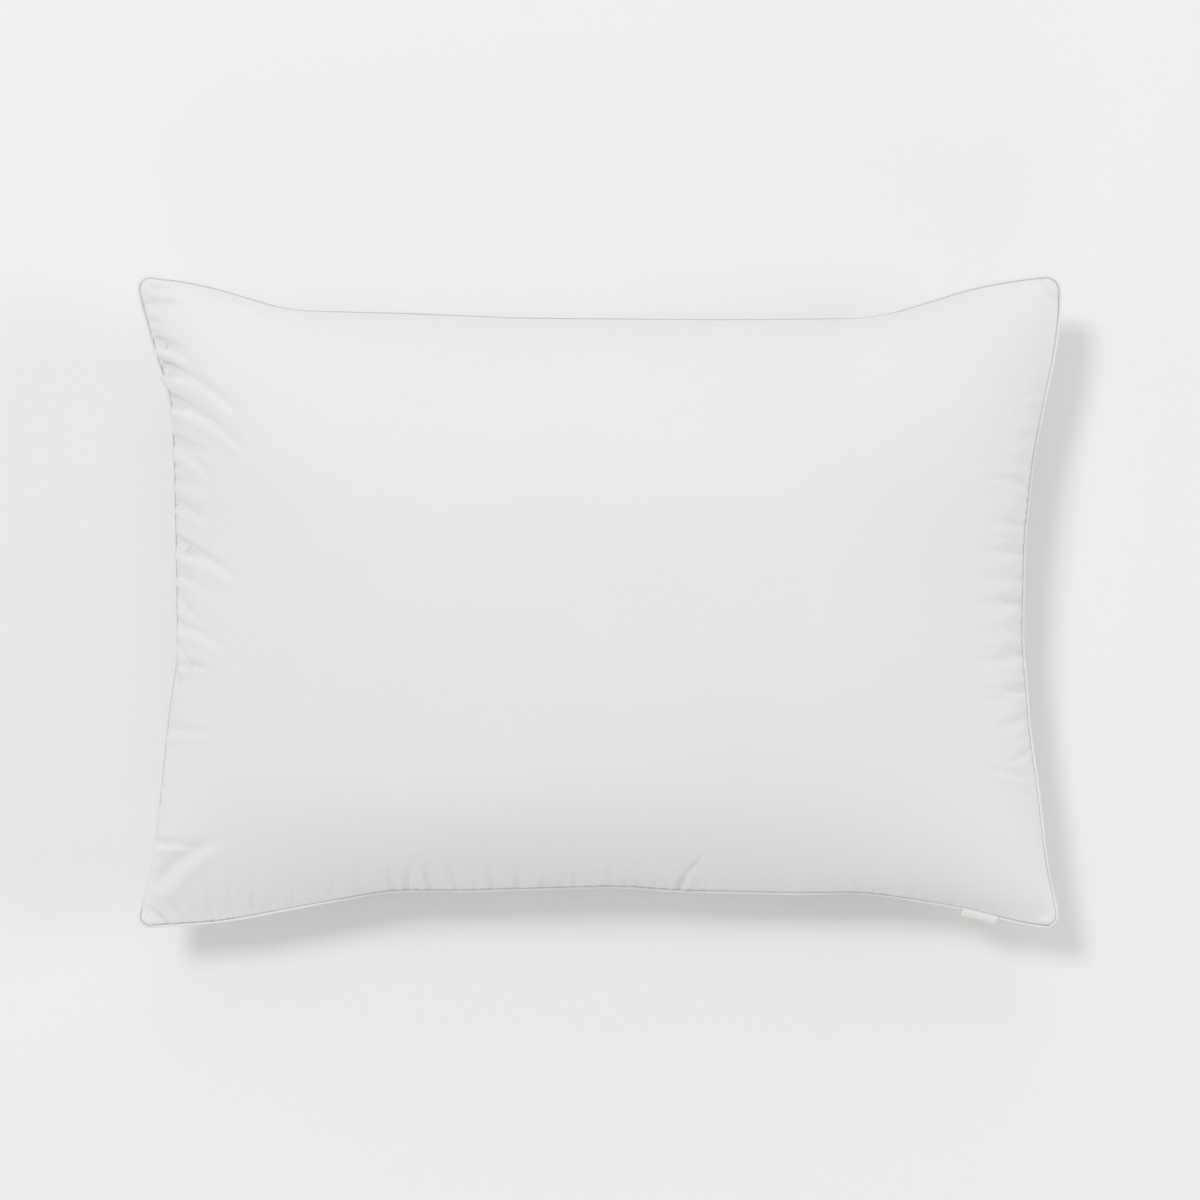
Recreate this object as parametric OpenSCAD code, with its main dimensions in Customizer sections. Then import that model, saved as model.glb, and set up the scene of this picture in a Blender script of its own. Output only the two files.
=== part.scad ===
// Bed pillow: two cover panels sewn together round a piped edge, over loose fibre fill.
// Millimetres. +X runs along the pillow, +Y across it and +Z up. The origin is the middle of
// the patch that it lies on.

/* [Body] */
// Length of the cover between its corners, with the pillow filled
body_l = 695; // [500:1:900]
// Width of the cover between its corners, with the pillow filled
body_w = 490; // [380:1:600]
// Height of the crown above the bed
loft = 180; // [150:1:210]
// How far the middle of each short edge is drawn in by the filling
end_pull = 29; // [0:1:40]
// How far the middle of each long edge is drawn in by the filling
side_pull = 32; // [0:1:40]
// Radius of the corners in plan
corner_r = 12; // [12:1:25]

/* [Seam] */
// Height of the seam above the bed, halfway along an edge
seam_h = 68; // [60:1:85]
// How much lower the seam is at the corners
corner_drop = 0; // [0:1:15]
// Width of the turned-in seam allowance
allowance = 9; // [7:0.5:9]
// Distance of the stitch line from the fold of the panels
stitch_in = 2; // [1.8:0.1:3]

/* [Cloth] */
// Thickness of the cover cloth
cloth_t = 0.4; // [0.3:0.1:0.5]
// Thickness of the strip that wraps the piping cord
strip_t = 0.3; // [0.2:0.1:0.4]
// Radius of the piping cord
cord_r = 1; // [0.8:0.1:1.6]
// Radius of the sewing thread
thread_r = 0.15; // [0.1:0.05:0.2]

/* [Closing seam] */
// Stretch of the front edge where the closing stitches start, counted from its left end
closing_from = 9; // [4:1:10]
// Number of stretches that they cover
closing_spans = 3; // [2:1:4]
// Stitches in each stretch
closing_each = 14; // [8:1:16]

/* [Label] */
// Width of the label
label_w = 28; // [20:1:35]
// Length that hangs below the seam
label_drop = 42; // [25:1:48]
// Thickness of one ply of its ribbon
label_t = 0.15; // [0.1:0.05:0.2]
// Place along the front edge, as a share of half the length
label_at = 0.82; // [0.7:0.01:0.88]

/* [Hidden] */

// Shape of the body
belly = seam_h + 16;  // depth of the underside below the seam, before the bed flattens it
crown_power = 2.4;    // how broad the crown is
edge_power = 0.5;     // 0.5 makes the cross-section an oval
end_flare = 2.3;      // how close to the corners the short edges flare out
side_flare = 3.2;     // how close to the corners the long edges flare out
flare_ease = 1.6;     // how softly the flare runs out at the corners
rings = 10;           // steps from the middle of a panel to its edge

// Steps round the edge
end_steps = 12;
side_steps = 16;
corner_steps = 4;

// Layers of the seam, as heights above and below the middle of the piping
ply_gap = 0.05;                             // between layers that lie on each other
flange_h = ply_gap / 2 + strip_t;           // outer face of the piping strip's flange
label_room = 2 * label_t + 2 * ply_gap;     // the label enters the seam above the flange
// Height of a panel's seam allowance
function stack_h(side) = flange_h + ply_gap + (side > 0 ? label_room : 0);
fill_gap = 0.5;                             // room between the fill and what surrounds it
bead_r = cord_r + strip_t;                  // outside of the piping

// ---- edge of the body, as shares of half its length and width, anticlockwise ----

share_x = corner_r / (body_l / 2);
share_y = corner_r / (body_w / 2);

// -1 to 1 in steps that crowd towards both ends
function crowd(t) = (2 * t - 1) * (1.25 - 0.25 * pow(2 * t - 1, 2));
function end_run(side) = [for (i = [0:end_steps]) [side, side * (1 - share_y) * crowd(i / end_steps)]];
function side_run(side) =
    [for (i = [0:side_steps]) [-side * (1 - share_x) * crowd(i / side_steps), side]];
function corner_run(x, y, from) =
    [for (i = [1:corner_steps - 1]) let (a = from + 90 * i / corner_steps)
        [x * (1 - share_x) + share_x * cos(a), y * (1 - share_y) + share_y * sin(a)]];

edge = concat(end_run(1), corner_run(1, 1, 0), side_run(1), corner_run(-1, 1, 90),
              end_run(-1), corner_run(-1, -1, 180), side_run(-1), corner_run(1, -1, 270));
around = len(edge);
front_start = 2 * end_steps + side_steps + 3 * corner_steps;  // first point of the front long edge
function wrap(i) = (i + around) % around;

// ---- surface of the body ----

// How much an edge is drawn in, at a share of the way from its middle to the start of a corner
function drawn_in(pull, share, flare) = pull * pow(1 - pow(min(1, abs(share)), flare), flare_ease);
function plan(u, v) =
    [u * (body_l / 2 - drawn_in(end_pull, v / (1 - share_y), end_flare) * pow(abs(u), 3)),
     v * (body_w / 2 - drawn_in(side_pull, u / (1 - share_x), side_flare) * pow(abs(v), 3))];
function seam_z(u, v) = seam_h - corner_drop * pow(u * v, 2);

// 1 in the middle of a panel and 0 at its edge; s is the share of the way out to edge point c
function bulge(s, c) =
    let (across = s * min(abs(c.x), abs(c.y)))
    pow((1 - pow(s, crown_power)) * (1 - pow(across, crown_power)), edge_power);
function skin_z(s, c, side) =
    let (z = seam_z(s * c.x, s * c.y), h = stack_h(side))
    side > 0 ? z + h + (loft - seam_h - h) * bulge(s, c)
             : max(0, z - h - (belly - h) * bulge(s, c));

// The skin of one panel as rings from its middle to its edge; side is 1 for the top panel
function skin(side) = [for (k = [0:rings]) let (s = sin(90 * k / rings))
    [for (c = edge) let (p = plan(s * c.x, s * c.y)) [p.x, p.y, skin_z(s, c, side)]]];
skins = [skin(1), skin(-1)];

// ---- path of the seam ----

seam_path = [for (c = edge) plan(c.x, c.y)];
seam_out = [for (i = [0:around - 1])
    let (t = seam_path[wrap(i + 1)] - seam_path[wrap(i - 1)]) [t.y, -t.x] / norm(t)];
// The point that is out from the seam by n and above it by h
function seam_at(i, n, h) =
    [seam_path[i].x + n * seam_out[i].x, seam_path[i].y + n * seam_out[i].y,
     seam_z(edge[i].x, edge[i].y) + h];
function seam_ring(n, h) = [for (i = [0:around - 1]) seam_at(i, n, h)];

// ---- skins set in from the outside ----

// Angle between a panel and its turned-in allowance at edge point i
function edge_angle(rows, i, side) =
    let (run = rows[rings][i] - rows[rings - 1][i])
    atan2(-side * run.z, norm([run.x, run.y]));
// Direction across the skin at ring k and edge point i, pointing up
function normal(rows, k, i) =
    let (n = cross(rows[k + 1][i] - rows[k - 1][i], rows[k][wrap(i + 1)] - rows[k][wrap(i - 1)]))
    n / norm(n);
function set_in(rows, side, inset) = [for (k = [0:rings]) [for (i = [0:around - 1])
    k == 0 ? rows[0][0] - [0, 0, side * inset] :
    k < rings ? rows[k][i] - side * inset * normal(rows, k, i) :
    seam_at(i, -inset / tan(edge_angle(rows, i, side) / 2), side * (stack_h(side) + inset))]];

// ---- solids from rings ----

function reversed(list) = [for (i = [len(list) - 1:-1:0]) list[i]];
function flat(lists) = [for (list = lists) for (item = list) item];

// A solid from rings that start and end at a pole, where all of a ring's points are one.
// Its first half and its second are split into triangles alike, so that thin walls don't cross.
module shell(all_rings) {
    last = len(all_rings) - 1;
    inner = [for (k = [1:last - 1]) all_rings[k]];
    count = len(inner);
    end = count * around + 1;
    function at(k, i) = 1 + k * around + wrap(i);
    function split(k, i) = k < count / 2
        ? [[at(k, i), at(k, i + 1), at(k + 1, i + 1)], [at(k, i), at(k + 1, i + 1), at(k + 1, i)]]
        : [[at(k, i), at(k, i + 1), at(k + 1, i)], [at(k + 1, i), at(k, i + 1), at(k + 1, i + 1)]];
    polyhedron(
        points = concat([all_rings[0][0]], flat(inner), [all_rings[last][0]]),
        faces = flat([for (i = [0:around - 1]) concat(
            [[0, at(0, i + 1), at(0, i)], [end, at(count - 1, i), at(count - 1, i + 1)]],
            flat([for (k = [0:count - 2]) split(k, i)]))]),
        convexity = 6);
}

// A solid with one cross-section all round the seam; section holds [out, up] points
module run_round(section) {
    m = len(section);
    function at(i, j) = wrap(i) * m + (j % m);
    polyhedron(
        points = flat([for (i = [0:around - 1]) [for (q = section) seam_at(i, q.x, q.y)]]),
        faces = flat([for (i = [0:around - 1]) flat([for (j = [0:m - 1]) [
            [at(i, j), at(i, j + 1), at(i + 1, j + 1)],
            [at(i, j), at(i + 1, j + 1), at(i + 1, j)]]])]),
        convexity = 6);
}

// Points on an arc in the seam's cross-section
function arc(center, r, from, to, steps) =
    [for (i = [0:steps]) let (a = from + (to - from) * i / steps) center + r * [cos(a), sin(a)]];

// ---- sub-parts ----

// A cover panel: the domed skin, with its seam allowance turned in at the edge
module panel(side) {
    rows = skins[side > 0 ? 0 : 1];
    h = stack_h(side);
    turned_in = [seam_ring(-allowance, side * h), seam_ring(-allowance, side * (h + cloth_t))];
    all_rings = concat(rows, turned_in, reversed(set_in(rows, side, cloth_t)));
    shell(side > 0 ? all_rings : reversed(all_rings));
}

module top_panel() {
    color("white") panel(1);
}

module bottom_panel() {
    color("white") panel(-1);
}

// Loose polyester microfibre, which fills the cover and closes round the seam allowances
module fibre_fill() {
    inset = cloth_t + fill_gap;
    reach = -allowance - fill_gap - 2 * thread_r;
    groove = [seam_ring(reach, stack_h(1) + inset), seam_ring(reach, -stack_h(-1) - inset)];
    color("ivory")
        shell(concat(set_in(skins[0], 1, inset), groove, reversed(set_in(skins[1], -1, inset))));
}

// Twisted cotton cord inside the piping
module piping_cord() {
    sides = 8;
    color("gainsboro")
        run_round([for (i = [0:sides - 1]) let (a = 360 * (i + 0.5) / sides)
            [bead_r, 0] + cord_r * [cos(a), sin(a)]]);
}

// Bias-cut strip, folded round the cord, with both its edges caught in the seam as a flange
module piping_strip() {
    flange_w = allowance - 1;
    clear = 0.02;                           // keeps the strip off the cord
    outer_a = 180 - asin(flange_h / bead_r);
    inner_a = 180 - asin(ply_gap / 2 / cord_r);
    steps = 8;
    color("white")
        run_round(concat(
            [[-flange_w, flange_h]], arc([bead_r, 0], bead_r + clear, outer_a, -outer_a, steps),
            [[-flange_w, -flange_h], [-flange_w, -ply_gap / 2]],
            arc([bead_r, 0], cord_r + clear, -inner_a, inner_a, steps),
            [[-flange_w, ply_gap / 2]]));
}

// One thread of the lockstitch, running along a face of the layered seam
module seam_thread(side) {
    h = side * (stack_h(side) + cloth_t + ply_gap + thread_r);
    color("whitesmoke")
        run_round([for (i = [0:3]) let (a = 90 * i + 45)
            [-stitch_in + thread_r * cos(a), h + thread_r * sin(a)]]);
}

module needle_thread() {
    seam_thread(1);
}

module bobbin_thread() {
    seam_thread(-1);
}

// Overlock stitching that binds the raw edges of all the layers
module overlock_thread() {
    cover = 3;                              // how far it reaches over the allowance
    in_a = -allowance - ply_gap;
    t = 2 * thread_r;
    top = stack_h(1) + cloth_t + ply_gap;
    bottom = -stack_h(-1) - cloth_t - ply_gap;
    color("whitesmoke")
        run_round([[in_a - t, bottom - t], [in_a + cover, bottom - t], [in_a + cover, bottom],
                   [in_a, bottom], [in_a, top], [in_a + cover, top], [in_a + cover, top + t],
                   [in_a - t, top + t]]);
}

// Edge stitches beside the piping, where the cover was closed after it was filled
module closing_stitches() {
    shows = 0.72;                           // share of the pitch that a stitch covers
    out = 0.25;
    up = stack_h(1) + 0.7;
    color("whitesmoke")
        for (i = [closing_from:closing_from + closing_spans - 1]) {
            start = seam_at(front_start + i, out, up);
            run = seam_at(front_start + i + 1, out, up) - start;
            for (k = [0:closing_each - 1])
                translate(start + run * (k + (1 - shows) / 2) / closing_each)
                    rotate([0, acos(run.z / norm(run)), atan2(run.y, run.x)])
                        cylinder(r = thread_r, h = norm(run) / closing_each * shows, $fn = 24);
        }
}

// Folded ribbon label: both ends enter the seam above the piping, and it hangs over the edge
module label() {
    enter = 7;                              // how far its ends reach into the seam
    fold_r = 0.8;                           // radius of the fold at its foot
    lean = 0.5;                             // how far its back ply leans in towards the pillow
    half = label_t / 2;
    pitch = label_t + ply_gap;              // distance between the two plies in the seam
    center = [bead_r, 0];
    // Ply 0 lies on the piping and ply 1 on top of it
    function ply_h(k) = flange_h + ply_gap + half + k * pitch;
    function over_r(k) = bead_r + 0.25 + k * pitch;
    function ply(k) = concat(
        [[-enter, ply_h(k)]], arc(center, over_r(k), 180 - asin(ply_h(k) / over_r(k)), 0, 12));
    foot = [bead_r + over_r(0) - lean + fold_r, -label_drop + fold_r];
    path = concat(ply(0), arc(foot, fold_r, 180, 360, 8), reversed(ply(1)));
    last = len(path) - 1;
    function leg(i) = let (t = path[min(i + 1, last)] - path[max(i - 1, 0)]) [t.y, -t.x] / norm(t);
    outline = concat([for (i = [0:last]) path[i] + leg(i) * half],
                     [for (i = [last:-1:0]) path[i] - leg(i) * half]);
    nudge = 0.01;                           // for the direction of the edge at the label
    at = plan(label_at, -1);
    run = plan(label_at + nudge, -1) - plan(label_at - nudge, -1);
    color("cornsilk")
        translate([at.x, at.y, seam_z(label_at, 1)])
            rotate([90, 0, atan2(run.y, run.x) - 90])
                linear_extrude(label_w, center = true) polygon(outline);
}

top_panel();
bottom_panel();
fibre_fill();
piping_cord();
piping_strip();
needle_thread();
bobbin_thread();
overlock_thread();
closing_stitches();
label();
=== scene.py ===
import math
import time
import bpy
import numpy as np
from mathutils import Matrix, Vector


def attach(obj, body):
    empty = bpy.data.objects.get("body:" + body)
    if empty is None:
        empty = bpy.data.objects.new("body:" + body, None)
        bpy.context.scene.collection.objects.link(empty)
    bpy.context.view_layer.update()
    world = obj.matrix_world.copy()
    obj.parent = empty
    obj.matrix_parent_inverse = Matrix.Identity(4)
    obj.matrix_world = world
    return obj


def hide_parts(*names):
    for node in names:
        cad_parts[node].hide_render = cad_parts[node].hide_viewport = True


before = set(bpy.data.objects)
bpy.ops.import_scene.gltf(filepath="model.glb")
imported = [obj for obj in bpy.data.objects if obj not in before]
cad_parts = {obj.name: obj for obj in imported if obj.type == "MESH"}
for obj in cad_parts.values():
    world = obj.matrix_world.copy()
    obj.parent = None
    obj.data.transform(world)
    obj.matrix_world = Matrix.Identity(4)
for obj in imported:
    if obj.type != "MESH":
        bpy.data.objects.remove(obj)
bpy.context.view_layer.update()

started = time.time()


def report(stage):
    # says which stage is done, and the seconds since the start
    print("%-34s %6.1f s" % (stage, time.time() - started), flush=True)


# camera, lights and floor

studio = {
    "height": 2.208, "lens": 85, "frameCentre": (0.001, 0.002),
    "floorSize": 14, "floorColour": (0.872, 0.872, 0.872),
    "worldStrength": 0.56,
}
# each light's compass angle from +X and its height above the floor in degrees, its distance,
# its size and its power in watts
lamps = {
    "key": {"angle": 135, "rise": 58, "away": 7.2, "size": 1.8, "watts": 154},
    "right": {"angle": 3, "rise": 25, "away": 6.4, "size": 3.2, "watts": 78},
    "front": {"angle": -90, "rise": 25, "away": 6.4, "size": 3.2, "watts": 34},
    "back": {"angle": 88, "rise": 30, "away": 6.4, "size": 3.2, "watts": 32},
    "left": {"angle": 180, "rise": 25, "away": 6.4, "size": 3.2, "watts": 18},
}


def aimedAt(thing, target):
    # turns a camera or light, which looks along its own -Z, towards a point
    away = thing.location - Vector(target)
    thing.rotation_mode = "QUATERNION"
    thing.rotation_quaternion = away.to_track_quat("Z", "Y")


def makeStudio():
    # a camera that looks straight down from its height, lamps on a dome round the pillow, and an
    # even white sky
    scene = bpy.context.scene
    scene.view_settings.view_transform = "Standard"
    cam = bpy.data.cameras.new("camera")
    cam.lens = studio["lens"]
    eye = bpy.data.objects.new("camera", cam)
    eye.location = studio["frameCentre"] + (studio["height"],)
    scene.collection.objects.link(eye)
    scene.camera = eye
    for name, lamp in lamps.items():
        light = bpy.data.lights.new(name, "AREA")
        light.shape, light.size, light.energy = "DISK", lamp["size"], lamp["watts"]
        made = bpy.data.objects.new(name, light)
        angle, rise = math.radians(lamp["angle"]), math.radians(lamp["rise"])
        made.location = Vector((math.cos(rise) * math.cos(angle), math.cos(rise) * math.sin(angle),
                                math.sin(rise))) * lamp["away"]
        aimedAt(made, (0, 0, 0.05))
        scene.collection.objects.link(made)
    world = bpy.data.worlds.new("studio")
    world.use_nodes = True
    sky = world.node_tree.nodes["Background"]
    sky.inputs["Color"].default_value = (1, 1, 1, 1)
    sky.inputs["Strength"].default_value = studio["worldStrength"]
    scene.world = world


makeStudio()


# shader helpers

class Wire:
    # a socket in a material's node tree; arithmetic on it adds Math nodes
    def __init__(self, tree, socket):
        self.tree, self.socket = tree, socket

    def node(self, kind, settings, inputs, output=0):
        return addNode(self.tree, kind, settings, inputs, output)

    def math(self, operation, first, second=0.0, third=0.0):
        return self.node("ShaderNodeMath", {"operation": operation}, {0: first, 1: second, 2: third})

    def __add__(self, other):
        return self.math("ADD", self, other)

    def __sub__(self, other):
        return self.math("SUBTRACT", self, other)

    def __rsub__(self, other):
        return self.math("SUBTRACT", other, self)

    def __mul__(self, other):
        return self.math("MULTIPLY", self, other)

    __radd__, __rmul__ = __add__, __mul__


def addNode(tree, kind, settings, inputs, output=0):
    # settings are set first, as they can change the sockets; a value may be a Wire or a constant
    made = tree.nodes.new(kind)
    for key, value in settings.items():
        setattr(made, key, value)
    for key, value in inputs.items():
        if isinstance(value, Wire):
            tree.links.new(value.socket, made.inputs[key])
        else:
            made.inputs[key].default_value = value
    return Wire(tree, made.outputs[output])


def newMaterial(name, constants):
    # a Principled material with the given constant sockets; returns it, its tree and its shader
    mat = bpy.data.materials.new(name)
    mat.use_nodes = True
    shader = mat.node_tree.nodes["Principled BSDF"]
    for key, value in constants.items():
        shader.inputs[key].default_value = value
    return mat, mat.node_tree, shader


def plug(tree, wire, shader, socket):
    # joins a wire to a named socket of the shader
    tree.links.new(wire.socket, shader.inputs[socket])


cotton = {
    "colour": (0.838, 0.838, 0.850), "shade": (0.805, 0.806, 0.820),
    "thread": 0.00034, "slub": 0.0016, "rough": 0.78, "sheen": 0.25, "weaveDepth": 0.00003,
}


def makeCotton(name, look):
    # plain weave: two sine waves across each other, threads of uneven thickness along both
    mat, tree, shader = newMaterial(name, {"Sheen Weight": look["sheen"], "Sheen Roughness": 0.5,
                                           "Specular IOR Level": 0.25})
    uv = addNode(tree, "ShaderNodeUVMap", {"uv_map": "cloth"}, {})
    parts = "ShaderNodeSeparateXYZ"
    x, y = addNode(tree, parts, {}, {0: uv}, 0), addNode(tree, parts, {}, {0: uv}, 1)
    turns = 2 * math.pi / look["thread"]
    warp = x.math("SINE", x * turns)
    weft = x.math("SINE", y * turns)
    along = addNode(tree, "ShaderNodeMapping", {}, {"Vector": uv, "Scale": (0.12, 1, 1)})
    across = addNode(tree, "ShaderNodeMapping", {}, {"Vector": uv, "Scale": (1, 0.16, 1)})
    slubs = {"Scale": 1 / look["slub"], "Detail": 3.0, "Roughness": 0.6}
    streakX = addNode(tree, "ShaderNodeTexNoise", {}, {"Vector": along, **slubs}, 0)
    streakY = addNode(tree, "ShaderNodeTexNoise", {}, {"Vector": across, **slubs}, 0)
    streaks = (streakX + streakY) * 0.5
    height = warp * weft * 0.5 + streaks * 3.5
    cloud = addNode(tree, "ShaderNodeTexNoise", {}, {"Vector": uv, "Scale": 9.0, "Detail": 2.0}, 0)
    tone = streaks * 0.7 + cloud * 0.6 - 0.15
    colour = addNode(tree, "ShaderNodeMix", {"data_type": "RGBA"},
                     {0: tone, 6: look["shade"] + (1,), 7: look["colour"] + (1,)}, 2)
    bump = addNode(tree, "ShaderNodeBump", {}, {"Strength": 0.6, "Distance": look["weaveDepth"],
                                                "Height": height})
    plug(tree, colour, shader, "Base Color")
    plug(tree, streaks * 0.12 + (look["rough"] - 0.06), shader, "Roughness")
    plug(tree, bump, shader, "Normal")
    return mat


coverCotton = makeCotton("coverCotton", cotton)


# mesh helpers

def gridQuads(index):
    # the quads of a grid of vertex numbers, anticlockwise when rows go up and columns go right
    return np.stack([index[:-1, :-1], index[:-1, 1:], index[1:, 1:], index[1:, :-1]], -1).reshape(-1, 4)


def unit(v):
    # each vector divided by its length
    return v / (np.linalg.norm(v, axis=-1, keepdims=True) + 1e-12)


def rim(grid):
    # the outer loop of a grid, anticlockwise from its first corner
    return np.concatenate([grid[0, :-1], grid[:-1, -1], grid[-1, :0:-1], grid[:0:-1, 0]])


def band(first, second):
    # quads between two closed loops of the same length; the second lies outside the first
    return np.stack([first, second, np.roll(second, -1), np.roll(first, -1)], -1)


def makePiece(name, points, quads, triangles=None, uv=None):
    # a mesh object at the origin from whole arrays; uv gives each vertex its place on flat cloth
    quads = np.asarray(quads, np.int32).reshape(-1, 4)
    triangles = np.zeros((0, 3), np.int32) if triangles is None else np.asarray(triangles, np.int32)
    corners = np.concatenate([quads.ravel(), triangles.ravel()]).astype(np.int32)
    sizes = np.concatenate([np.full(len(quads), 4), np.full(len(triangles), 3)])
    mesh = bpy.data.meshes.new(name)
    mesh.vertices.add(len(points))
    mesh.vertices.foreach_set("co", np.asarray(points, np.float32).ravel())
    mesh.loops.add(len(corners))
    mesh.loops.foreach_set("vertex_index", corners)
    mesh.polygons.add(len(sizes))
    mesh.polygons.foreach_set("loop_start", (np.cumsum(sizes) - sizes).astype(np.int32))
    mesh.polygons.foreach_set("loop_total", sizes.astype(np.int32))
    # triangles are used where cloth folds sharply back, and are flat so that the fold stays crisp
    mesh.polygons.foreach_set("use_smooth", sizes == 4)
    mesh.update(calc_edges=True)
    if uv is not None:
        layer = mesh.uv_layers.new(name="cloth")
        layer.data.foreach_set("uv", np.asarray(uv, np.float32)[corners].ravel())
    mesh.validate()
    piece = bpy.data.objects.new(name, mesh)
    bpy.context.scene.collection.objects.link(piece)
    return piece


# the cover as cloth: two flat panels sewn at the rim and filled

# metres; the flat size is that of each panel inside its seam
pillow = {
    "flatLength": 0.711, "flatWidth": 0.508, "cornerRadius": 0.010,
    "seamLength": 0.6948, "seamWidth": 0.4898, "loft": 0.180,
    "coarse": (10, 7), "halvings": 5, "crowding": 0.12,
    "rounds": (0, 300, 240, 200, 140, 110),     # solver passes at each halving
    "seed": 11,
    "pressure": 0.007, "carry": 0.9, "slump": 0.95, "control": 0.2,
    "pipingStiffness": 0.5, "hold": 0.25, "jitter": 0.1,
    "crimp": 1.0, "shear": 0.6, "bend": 0.03,   # resistance to shortening, to shear and to bending
    "gatherFrom": 4, "gatherReach": 0.035, "cornerReach": 0.045,
    "bunches": 24, "bunching": 2.4,             # uneven stretches along a gathered side
    "smoothing": (-0.024, -0.012, 0, 0.012, 0.024),     # shares over which the outline is averaged
    "startSize": 0.93, "startDome": 0.3,        # of the flat panels and of the loft
}

# how far each side of the seam is drawn in from the full length or width: the share of the way
# along it, starting from the left or from the back, and metres
drawnIn = {
    "back": [(0, 0), (0.02, 0.001), (0.07, 0.006), (0.16, 0.025), (0.28, 0.027), (0.42, 0.031),
             (0.63, 0.032), (0.80, 0.031), (0.86, 0.019), (0.91, 0.0075), (0.98, 0), (1, 0)],
    "front": [(0, 0.001), (0.09, 0.004), (0.21, 0.020), (0.28, 0.029), (0.34, 0.028), (0.53, 0.032),
              (0.58, 0.0285), (0.72, 0.026), (0.79, 0.027), (0.89, 0.016), (0.98, 0), (1, 0)],
    "left": [(0, 0.0005), (0.02, 0.001), (0.145, 0.017), (0.19, 0.025), (0.30, 0.0275), (0.50, 0.029),
             (0.60, 0.0295), (0.68, 0.023), (0.80, 0.017), (0.92, 0.010), (0.98, 0.001), (1, 0)],
    "right": [(0, 0.002), (0.04, 0), (0.115, 0.004), (0.21, 0.014), (0.28, 0.0205), (0.40, 0.0265),
              (0.56, 0.028), (0.71, 0.022), (0.80, 0.0155), (0.92, 0.009), (0.98, 0.001), (1, 0.001)],
}
# how far the seam has slid along each side, towards the right or the back, at shares of the way
slid = {
    "back": [(0, 0), (0.1, 0.002), (0.3, 0), (1, 0)],
    "front": [(0, 0), (0.12, -0.002), (0.5, -0.003), (0.62, -0.003), (0.8, 0), (1, 0)],
    "left": [(0, 0), (0.1, 0.003), (0.2, 0.006), (0.6, 0.007), (0.75, 0.003), (0.95, -0.001), (1, 0)],
    "right": [(0, 0), (0.3, 0), (0.5, 0.001), (0.75, 0.003), (1, 0)],
}
# the share by which the cloth along each side, and at the corners, is longer than its seam
gathered = {"back": -0.025, "front": 0.018, "left": 0.038, "right": 0.009, "corners": -0.035}


def crowded(cells, ease):
    # even steps from -1 to 1 squeezed towards both ends: t (1 + ease - ease t^2)
    t = np.linspace(-1, 1, cells + 1)
    return t * (1 + ease - ease * t * t)


def flatPattern(cells):
    # a rectangle of crowded rows and columns; past a corner's centre, distance by the larger
    # of its two sides becomes distance by radius, which rounds the corner
    halfL, halfW, r = pillow["flatLength"] / 2, pillow["flatWidth"] / 2, pillow["cornerRadius"]
    x, y = np.meshgrid(crowded(cells[0], pillow["crowding"]) * halfL,
                       crowded(cells[1], pillow["crowding"]) * halfW)
    a, b = np.abs(x) - (halfL - r), np.abs(y) - (halfW - r)
    squeeze = np.where((a > 0) & (b > 0), np.maximum(a, b) / (np.hypot(a, b) + 1e-9), 1)
    x = np.where(squeeze < 1, np.sign(x) * (halfL - r + a * squeeze), x)
    y = np.where(squeeze < 1, np.sign(y) * (halfW - r + b * squeeze), y)
    return np.stack([x, y], axis=-1)


def shares(flat):
    # each point's share of the way from left to right and from back to front
    return flat[..., 0] / pillow["flatLength"] + 0.5, 0.5 - flat[..., 1] / pillow["flatWidth"]


def seamTarget(flat):
    # the seam's outline from above: the flat rim scaled to the seam's length and width, with
    # each side moved inwards by a smoothed curve through the points in drawnIn
    x, y = flat[..., 0], flat[..., 1]
    across, down = shares(flat)
    halfL, halfW, r = pillow["flatLength"] / 2, pillow["flatWidth"] / 2, pillow["cornerRadius"]
    inwards, sideways = {}, {}
    for side, share in (("back", across), ("front", across), ("left", down), ("right", down)):
        for moved, curve in ((inwards, drawnIn[side]), (sideways, slid[side])):
            at, depth = np.array(curve).T
            moved[side] = np.mean([np.interp(share + d, at, depth) for d in pillow["smoothing"]], axis=0)
    outX = x * pillow["seamLength"] / pillow["flatLength"]
    outY = y * pillow["seamWidth"] / pillow["flatWidth"]
    left, right, front, back = x < r - halfL, x > halfL - r, y < r - halfW, y > halfW - r
    outX += (left * inwards["left"] - right * inwards["right"]
             + front * sideways["front"] + back * sideways["back"])
    outY += (front * inwards["front"] - back * inwards["back"]
             + left * sideways["left"] + right * sideways["right"])
    return rim(np.stack([outX, outY], axis=-1))


def slackness(flat, rng):
    # extra cloth along x and along y, fading inwards from the sides as a bell curve and
    # uneven along them by a random curve
    across, down = shares(flat)
    halfL, halfW = pillow["flatLength"] / 2, pillow["flatWidth"] / 2
    sides = {"back": (halfW - flat[..., 1], across, 0), "front": (halfW + flat[..., 1], across, 0),
             "left": (halfL + flat[..., 0], down, 1), "right": (halfL - flat[..., 0], down, 1)}
    slack = np.zeros((2,) + flat.shape[:2])
    for side, (away, share, axis) in sides.items():
        knots = np.ones(pillow["bunches"])
        if gathered[side] > 0:
            knots = pillow["bunching"] * rng.uniform(0, 1, len(knots)) ** 1.5
        short = np.clip(16 * share * (1 - share), 0, 1)     # stops short of the corners
        uneven = np.interp(share, np.linspace(0, 1, len(knots)), knots) * short
        slack[axis] += gathered[side] * uneven * np.exp(-(away / pillow["gatherReach"]) ** 2)
    corner = np.hypot(halfL - np.abs(flat[..., 0]), halfW - np.abs(flat[..., 1]))
    return slack + gathered["corners"] * np.exp(-(corner / pillow["cornerReach"]) ** 2)


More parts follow.
